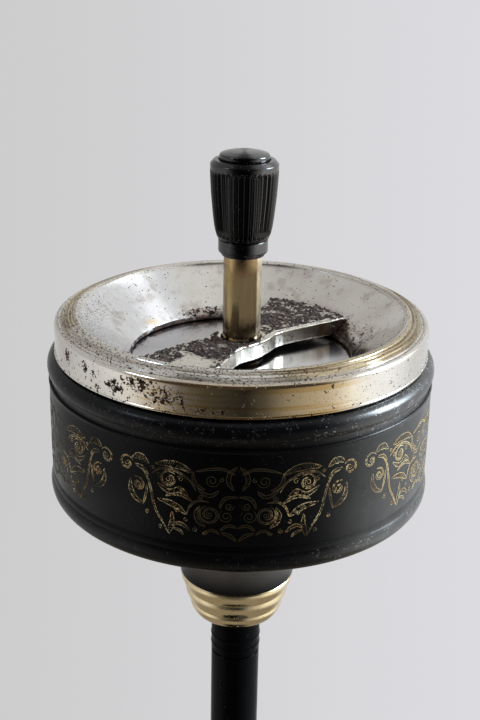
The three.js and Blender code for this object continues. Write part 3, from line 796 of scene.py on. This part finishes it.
def make_knob():
    side = smooth([(7.9, 35.1), (8.72, 37.8), (9.26, 41.6), (9.64, 45.3), (9.97, 48.9), (10.25, 54),
                   (10.31, 56.6)], 6)
    outline = [(0, 40.3), (6.2, 40.3), (6.2, 35.3)] + arc(7.5, 35.3, 0.4, -140, -20, 4) + side
    outline += arc(9.9, 57.6, 0.41, 0, 45, 3) + [(9.3, 58.8)] + arc(8.9, 58.5, 0.4, 45, 90, 3)
    outline += [(7.95, 58.9), (7.85, 58.7), (7.85, 58.3), (0, 58.3)]

    def fluted(radius, height, angle):
        if radius < 8.2 or height > 56.4:
            return radius
        fade = min(1, (56.4 - height) / 1.2) * min(1, max(0, (height - 35.3) / 0.8))
        valley = (0.5 - 0.5 * math.cos(FLUTES * angle)) ** 0.7
        return radius - 0.75 * fade * valley

    turn("knob", outline, "plunger", BAKELITE, steps=FLUTES * 12, shape=fluted)
    cap = [(0, 58.5), (7.55, 58.5), (7.6, 58.6), (7.6, 60.0)] + arc(6.9, 60.0, 0.7, 0, 70, 6)
    cap += smooth([(6.6, 60.85), (4.5, 61.3), (2, 61.47), (0, 61.5)], 4)
    turn("knob_cap", cap, "plunger", BAKELITE, steps=128)
    collar = [(6.2, 29.6), (6.6, 29.65), (6.7, 30.2)] + arc(6.64, 31.3, 1.0, -85, 0, 8) + [(7.64, 34.2)]
    collar += arc(7.3, 34.36, 0.34, 0, 90, 4) + [(6.2, 34.7)]
    turn("knob_collar", collar, "plunger", BAKELITE, steps=128)


def make_plunger_metal():
    turn("plunger_tube", [(5.2, -9), (5.7, -9), (5.9, -8.8), (5.9, 10), (5.9, 39.8), (5.7, 40), (5.2, 40)],
         "plunger", TUBE_BRASS, steps=128)
    turn("stop_collar", [(6.2, -3.2), (6.8, -3.2), (7, -3), (7, -1.1), (6.8, -0.9), (6.2, -0.9)],
         "plunger", SHADE_DARK_BRASS, steps=96)
    turn("retaining_ring", [(6.2, -7.4), (6.9, -7.4), (7, -7.3), (7, -6.2), (6.9, -6.1), (6.2, -6.1)],
         "plunger", STEEL, steps=96)
    washer = [(4.5, -14.5), (7.4, -14.5), (7.5, -14.4), (7.5, -14.0), (7.4, -13.9), (4.5, -13.9)]
    turn("spring_washer", washer, "plunger", STEEL, steps=96)


# --- The spinner ---


def make_spinner():
    plate = [(6.4, -4.3), (36.4, -4.3), (36.6, -4.1), (36.6, -3.7), (36.4, -3.5), (20, -3.55), (6.4, -3.5)]
    turn("spinner_plate", plate, "spinner", DISC, steps=192)
    hub = [(6.4, -4.6), (13.8, -4.6), (14, -4.8), (14, -5.6), (13.8, -5.8), (10, -5.8)]
    hub += [(9.6, -6.1), (9.5, -6.5), (9.5, -13.3), (9.2, -13.6), (6.9, -13.6), (6.9, -12.9)]
    hub += [(8.2, -12.9), (8.2, -5.8), (6.4, -5.8)]
    turn("spinner_hub", hub, "spinner", SHADE_DARK_BRASS, steps=96)


# --- The bowl ---


def make_bowl():
    outer = [(57.2, -0.3)] + arc(57.0, -3.9, 3.5, 84, -38, 14)
    outer += smooth([(59.7, -6.5), (59.53, -7.3), (59.5, -7.8)], 3)
    outer += arc(59.8, -8.65, 0.42, 120, -50, 8) + [(60, -9.5), (60, -11), (60, -24), (60, -37.6)]
    outer += [(59.85, -38.0), (59.85, -38.3), (60.05, -38.7), (60.1, -40.2), (60.0, -40.6), (60.2, -41.0)]
    outer += smooth([(60.5, -41.8), (60.6, -43.0), (60.25, -44.8), (59.2, -46.4), (57.6, -47.4)], 5)
    outer += [(56, -47.9), (54.6, -48.4), (54.5, -48.2), (54.5, -47.4)]
    inner = [(57.4, -46.5), (59, -43.5), (59, -2.6), (58.4, -1.5), (57.2, -1.3)]
    turn("bowl_wall", outer + inner, "stand", ENAMEL, steps=256, shape=hand_spun(0.06))
    floor = [(3.6, -52), (45.6, -52)] + smooth([(46.5, -51.8), (52.2, -47.3), (56.3, -46.5)], 4)
    floor += [(57.7, -44.9), (57.3, -44.3), (55.8, -45.4), (51.8, -46.2), (46, -51), (3.6, -51)]
    turn("bowl_floor", floor, "stand", GLOSS, steps=192)


# --- The gold transfer print ---

PRINT_R = 60.03
PRINT_MIDDLE = -23.6
PRINT_REPEATS = 5
LINE = 0.155
HATCH_GAP = 0.72


class Stroke:
    """A pen line on the unrolled bowl: points (along, up) in millimetres from the panel's middle."""

    def __init__(self, points, width=LINE):
        self.points = points
        self.width = width


def curl(along, up, start_r, end_r, start, turns):
    """Points of a spiral that begins start_r from its centre, at start degrees."""
    count = max(10, int(abs(turns) * 22))
    points = []
    for i in range(count + 1):
        t = i / count
        angle = math.radians(start) + 2 * math.pi * turns * t
        radius = start_r + (end_r - start_r) * t ** 0.8
        points.append((along + radius * math.cos(angle), up + radius * math.sin(angle)))
    return points


def leaf(points, swell):
    """A line, a second line that bows away from it by swell, and engraved hatching between them."""
    last = len(points) - 1
    outer = []
    for i, (x, y) in enumerate(points):
        ahead, behind = points[min(last, i + 1)], points[max(0, i - 1)]
        run = math.hypot(ahead[0] - behind[0], ahead[1] - behind[1])
        size = swell * math.sin(math.pi * i / last) ** 0.7 / run
        outer.append((x - size * (ahead[1] - behind[1]), y + size * (ahead[0] - behind[0])))
    strokes = [Stroke(points, LINE * 1.15), Stroke(outer)]
    length = sum(math.dist(a, b) for a, b in zip(points, points[1:]))
    hatches = int(length / HATCH_GAP)
    for i in range(hatches):
        place = int((i + 0.5) / hatches * last)
        strokes.append(Stroke([points[place], outer[min(last, place + 2)]], LINE * 0.8))
    return strokes


def half_motif():
    """The right half of one scroll panel; the left half is its mirror image."""
    strokes = []
    for path, swell in (
        # Flower and scroll at the far top
        (smooth([(25.6, 8.6), (27.2, 10.8), (29.6, 10.9), (31.2, 9.2)]), -2.0),
        (smooth([(25.8, 5.2), (27.6, 7.4), (30.2, 7.6)]), -1.1),
        (curl(32.9, 7.2, 2.3, 0.9, 150, -1.1), 0.5),
        # Hanging scroll beside the stem
        (curl(29.2, 1.4, 2.5, 0.8, 60, 1.25), 0.7),
        (smooth([(31.9, 2.6), (32.4, -0.8), (30.6, -3.6), (27.6, -4.6)]), -1.5),
        (smooth([(26.2, 2.0), (26.4, -1.2), (27.6, -4.6)]), 0.6),
        # Stem, and the hatched spur it runs down to
        (smooth([(28.0, 6.8), (26.0, 4.4), (24.7, 0.2), (23.6, -4.6), (21.6, -8.2), (19.6, -12.2)]), 0.6),
        (smooth([(18.6, -4.8), (18.0, -8.0), (18.6, -10.4), (19.6, -12.2)]), 1.4),
        (smooth([(18.8, -9.2), (16.8, -7.8), (14.8, -8.4), (13.4, -10.2)]), 1.0),
        (smooth([(18.6, -9.8), (16.2, -10.2), (15.2, -11.8)]), 0.7),
        # Hatched canopy with the ringed scroll under it
        (smooth([(12.4, 8.0), (15.6, 10.3), (19.8, 10.7), (23.6, 9.2)]), -2.1),
        (smooth([(24.8, 5.8), (22.0, 8.0), (17.4, 8.0), (13.4, 5.6), (11.6, 2.4)]), 0.5),
        (curl(19.6, 5.0, 2.5, 1.2, 140, -1.15), 0.5),
        (smooth([(13.8, 0.8), (16.2, 3.2), (19.4, 1.9), (23.0, 3.4)]), -1.5),
        (smooth([(12.6, -1.2), (16.4, 0.4), (20.6, -0.4)]), 0.9),
        # Broad leaf and the arch from the middle
        (smooth([(14.3, -5.2), (16.4, -2.7), (19.4, -1.5), (23.0, -1.6)]), -1.7),
        (smooth([(8.0, -0.6), (11.2, -0.8), (13.3, -2.6), (14.3, -5.2)]), 0.5),
        (curl(7.9, -4.5, 2.9, 1.1, 70, -1.5), 0.6),
        (smooth([(10.6, -1.9), (12.2, -4.4), (11.4, -7.2), (9.0, -8.6)]), -1.2),
        # Wings towards the middle
        (smooth([(9.0, 3.2), (10.8, 4.2), (12.0, 6.0), (12.4, 8.2)]), -0.9),
        (smooth([(5.4, 3.2), (8.0, 1.8), (11.2, 3.4)]), -1.0),
        (smooth([(0.4, 10.6), (2.7, 8.8), (3.2, 5.8), (1.2, 3.2)]), -1.2),
        (smooth([(0.8, 8.2), (4.2, 10.0), (8.0, 9.8), (12.0, 8.4)]), -0.7),
        (smooth([(0.3, 1.2), (3.4, 0.4), (5.0, -2.4)]), 0.8),
        # Foot of the panel
        (smooth([(0.2, -12.4), (1.9, -10.4), (4.6, -9.8)]), -0.9),
        (smooth([(0.2, -8.4), (2.6, -8.0), (4.8, -9.4)]), 0.7),
        (smooth([(5.0, -10.6), (7.2, -9.6), (9.8, -10.8)]), 0.6),
    ):
        strokes += leaf(path, swell)
    for along, up, size, start, turns in (
        (28.9, 1.3, 1.2, 200, 1.4), (32.8, 7.3, 0.9, 0, -1.3), (19.7, 4.9, 1.3, -40, -1.6),
        (16.2, 5.6, 1.0, 20, 1.3), (7.2, 6.0, 2.1, 180, 1.7), (3.2, -4.8, 2.2, 60, -1.7),
        (12.2, -9.6, 0.9, 90, 1.4), (9.0, -10.2, 0.8, 0, -1.3), (7.8, -4.4, 1.0, 60, -1.4),
        (22.6, 5.6, 0.9, 30, 1.3), (4.6, 6.4, 0.8, 90, 1.2), (26.2, -6.6, 0.8, 120, -1.2),
        (22.2, -10.2, 0.8, 200, 1.2), (17.2, -4.4, 0.8, 10, 1.3), (24.4, 7.6, 0.7, 10, 1.2),
        (10.4, 0.8, 0.9, 0, -1.4), (2.4, -1.6, 1.4, 160, 1.5), (14.6, -6.9, 0.7, 90, -1.2),
    ):
        strokes.append(Stroke(curl(along, up, size, size * 0.2, start, turns)))
    return strokes


def add_stroke(stroke, mirror, middle, vertices, faces):
    """Lays one stroke on the bowl as a thin closed ribbon."""
    points = [(mirror * along, up) for along, up in stroke.points]
    start = len(vertices)
    count = len(points)
    for i, (along, up) in enumerate(points):
        before, after = points[max(0, i - 1)], points[min(count - 1, i + 1)]
        run = Vector((after[0] - before[0], after[1] - before[1]))
        across = Vector((-run.y, run.x)).normalized() if run.length else Vector((0, 1))
        t = i / (count - 1)
        half = 0.5 * stroke.width * min(1, 0.4 + 4 * min(t, 1 - t))
        for side, lift in ((1, 0), (1, 0.03), (-1, 0.03), (-1, 0)):
            angle = middle + (along + side * half * across.x) / PRINT_R
            radius = PRINT_R + lift
            height = SEAT + PRINT_MIDDLE + up + side * half * across.y
            vertices.append((radius * math.cos(angle) * MM, radius * math.sin(angle) * MM, height * MM))
    for i in range(count - 1):
        for k in range(4):
            a, b = start + 4 * i + k, start + 4 * i + (k + 1) % 4
            faces.append((a, b, b + 4, a + 4))
    faces.append((start + 3, start + 2, start + 1, start))
    end = start + 4 * (count - 1)
    faces.append((end, end + 1, end + 2, end + 3))


def make_print():
    vertices, faces = [], []
    strokes = half_motif()
    for repeat in range(PRINT_REPEATS):
        middle = FRONT + (repeat - PRINT_REPEATS // 2) * PRINT_PITCH
        for mirror in (1, -1):
            for stroke in strokes:
                add_stroke(stroke, mirror, middle, vertices, faces)
    mesh_piece = new_object("gold_scroll_print", vertices, faces)
    tool = bmesh.new()
    tool.from_mesh(mesh_piece.data)
    bmesh.ops.recalc_face_normals(tool, faces=tool.faces)
    tool.to_mesh(mesh_piece.data)
    tool.free()
    dress(mesh_piece, [], "stand", GOLD)


# --- Neck, pole and base ---

RIB_1 = [(18.9, 0.4), (18.75, 1.8), (18.28, 3.2), (17.75, 4.35), (17.25, 5.2)]
RIB_2 = [(17.38, 6.1), (17.18, 7.35), (16.62, 8.8), (16.05, 9.9), (15.6, 10.75)]
RIB_3 = [(15.72, 11.6), (15.3, 13.1), (14.35, 14.7), (13.2, 15.75), (12.4, 16.2)]


def ribbed_bell(bore):
    """Outline of a brass collar in three ribs, each narrower than the one below, from its foot upwards."""
    outer = [(10, 0), (18.6, 0)] + smooth(RIB_1, 4) + smooth(RIB_2, 4) + smooth(RIB_3, 4)
    return outer + [(12, 16.4), (bore, 16.4), (bore, 15.4), (11, 15.4), (16.8, 1), (10, 1)]


def make_neck():
    cone = smooth([(30.5, -52.4), (27, -56), (24, -62), (21.2, -70), (19.6, -76), (19.1, -79.4)], 5)
    cone += [(18.9, -80), (10, -80), (10, -78.8), (17.7, -78.8), (18.4, -76), (20, -70), (22.8, -62)]
    cone += [(25.8, -56), (28.8, -52.3)]
    turn("neck_cone", cone, "stand", CONE_BLACK, steps=160)
    collar = [(radius, -80.3 - rise) for radius, rise in ribbed_bell(5)]
    turn("neck_collar", collar, "stand", COLLAR_BRASS)
    beads = [(4.2, -97), (8.1, -97), (8.3, -97.2)]
    for middle in (-105.7, -109.2):
        beads += smooth([(8.3, middle + 0.9), (8.34, middle + 0.6), (8.48, middle), (8.34, middle - 0.6),
                         (8.3, middle - 0.9)], 4)
    beads += [(8.3, -111.7), (8.1, -112), (6.95, -112), (6.95, -126), (4.2, -126)]
    turn("pole_ferrule", beads, "stand", GLOSS, steps=128)


def make_pole():
    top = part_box("pole")[1].z / MM
    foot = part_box("pole")[0].z / MM
    outline = [(7.25, foot), (8.25, foot)] + [(8.25, foot + (top - foot) * i / 20) for i in range(1, 20)]
    outline += [(8.25, top - 0.2), (8.05, top), (7.25, top)]
    turn("pole", outline, "stand", GLOSS, base=FLOOR, steps=96)


def make_base():
    dome = smooth([(109.7, 9), (109.2, 11), (107.8, 12.8), (105, 14.2), (96, 16.6), (70, 20.5), (40, 23.4),
                   (22, 25.2)], 6)
    under = [(40, 22.4), (70, 19.4), (96, 15.3), (104.6, 13), (107.7, 11.2), (108.7, 8.6), (108.7, 3)]
    cover = [(109.4, 3), (109.7, 3.3)] + dome + [(17, 25.9), (8.55, 25.9), (8.55, 24.9), (22, 24.2)] + under
    turn("base_cover", cover, "stand", ENAMEL, base=FLOOR, steps=256)
    trim = [(110, 2.6)] + smooth([(110.8, 2.6), (111.3, 3.6), (111.4, 6), (111.3, 8.3), (110.8, 9.3)], 5)
    turn("base_trim", trim + [(110, 9.3)], "stand", NICKEL, base=FLOOR, steps=256)
    collar = [(radius, 26.4 + rise) for radius, rise in ribbed_bell(8.55)]
    turn("base_collar", collar, "stand", COLLAR_BRASS, base=FLOOR)
    pad = [(20, 0), (103.7, 0), (104, 0.4), (104, 1.6), (103.7, 2), (20, 2)]
    turn("base_felt", pad, "stand", FELT, base=FLOOR, steps=192)


# --- CAD nodes that keep their shape ---

KEPT = {
    STEEL: ("spindle_bracket", "bracket_rivet_1", "bracket_rivet_2", "bracket_rivet_3", "bracket_rivet_4",
            "twisted_spindle", "drive_plate", "hub_rivet_1", "hub_rivet_2", "hub_rivet_3", "tie_rod",
            "bowl_washer", "bowl_nut", "base_washer", "base_nut"),
    TUBE_BRASS: ("spindle_nut",),
    IRON: ("base_weight",),
}


def dress_kept_nodes():
    for look, names in KEPT.items():
        for name in names:
            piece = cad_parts[name]
            piece.data.materials.clear()
            piece.data.materials.append(look)


# --- Light and camera ---

# The room's colour at each bearing, from the floor to a little above eye level: degrees from the front
# towards +X. The front is dark and the window side is to the right.
ROOM_RING = (
    (-180, (0.66, 0.66, 0.66)), (-135, (0.55, 0.54, 0.53)), (-70, (1.0, 0.99, 0.97)),
    (-50, (0.58, 0.56, 0.54)), (-36, (0.18, 0.17, 0.16)), (-20, (0.09, 0.085, 0.08)),
    (5, (0.025, 0.025, 0.027)), (17, (0.13, 0.125, 0.12)), (30, (0.43, 0.41, 0.39)),
    (54, (0.84, 0.81, 0.77)), (68, (1.3, 1.28, 1.2)), (100, (1.25, 1.25, 1.25)),
    (125, (0.88, 0.88, 0.88)), (180, (0.66, 0.66, 0.66)),
)
WINDOW = (16.0, 18.2, 20.0)
LAMP = (7.0, 8.2, 10.5)
CURTAIN = (1.5, 1.52, 1.55)
FLOOR_BELOW = (0.33, 0.295, 0.24)


def make_world():
    """A room with its window on the right and a lamp on the left; the camera sees a plain pale backdrop."""
    world = bpy.data.worlds.new("room")
    bpy.context.scene.world = world
    world.use_nodes = True
    room = Nodes(world.node_tree, "Generated")
    x, _, up = room.parts()
    bearing = room.times(room.bearing(), 180 / math.pi)
    stops = [(0.5 + degrees / 360, colour) for degrees, colour in ROOM_RING]
    ring = room.ramp(room.plus(room.times(bearing, 1 / 360), 0.5), stops)
    high = room.mix(room.span(x, -0.5, 0.5), (0.6, 0.59, 0.58), (0.87, 0.87, 0.86))
    front = room.times(room.within(bearing, -45, 45, 25), room.span(up, 0.97, 0.85))
    high = room.mix(front, high, (0.07, 0.06, 0.055))
    light = room.mix(room.span(up, -0.15, 0.2), ring, high)
    light = room.mix(room.span(up, -0.62, -0.8), light, FLOOR_BELOW)
    curtain = room.times(room.within(bearing, 104, 123, 6), room.within(up, 0.1, 0.79, 0.015))
    light = room.mix(curtain, light, CURTAIN)
    window = room.times(room.within(bearing, 86, 107, 3), room.within(up, 0.16, 0.6, 0.02))
    light = room.mix(window, light, WINDOW)
    lamp = room.times(room.within(bearing, -78, -66, 5), room.within(up, 0.62, 0.72, 0.03))
    light = room.mix(lamp, light, LAMP)
    backdrop = room.mix(room.span(x, -0.24, 0.24), (0.61, 0.61, 0.615), (0.715, 0.71, 0.74))
    camera_ray = room.node("ShaderNodeLightPath").outputs["Is Camera Ray"]
    seen = room.mix(camera_ray, light, backdrop)
    room.link(seen, room.tree.nodes["Background"].inputs["Color"])


def make_camera():
    """Camera 0.35 m in front of the axis and 0.13 m above the seat, looking down."""
    data = bpy.data.cameras.new("camera")
    data.lens = 60
    data.sensor_width = 36
    data.clip_start = 0.01
    camera = bpy.data.objects.new("camera", data)
    bpy.context.scene.collection.objects.link(camera)
    pitch, yaw, roll = math.radians(21.40), math.radians(-0.04), math.radians(1.12)
    forward = Vector((math.sin(yaw) * math.cos(pitch), math.cos(yaw) * math.cos(pitch), -math.sin(pitch)))
    right = forward.cross(Vector((0, 0, 1))).normalized()
    up = right.cross(forward)
    tilted_right = right * math.cos(roll) + up * math.sin(roll)
    tilted_up = up * math.cos(roll) - right * math.sin(roll)
    turn_matrix = Matrix((tilted_right, tilted_up, -forward)).transposed().to_4x4()
    camera.matrix_world = Matrix.Translation((0, -0.3534, (SEAT + 133.3) * MM)) @ turn_matrix
    bpy.context.scene.camera = camera


make_camera()
make_world()
make_tray()
make_locating_ring()
make_guide_bush()
make_bridge()
make_spring()
make_knob()
make_plunger_metal()
make_spinner()
make_bowl()
make_print()
make_neck()
make_pole()
make_base()
dress_kept_nodes()
bpy.context.scene.view_settings.view_transform = "Standard"
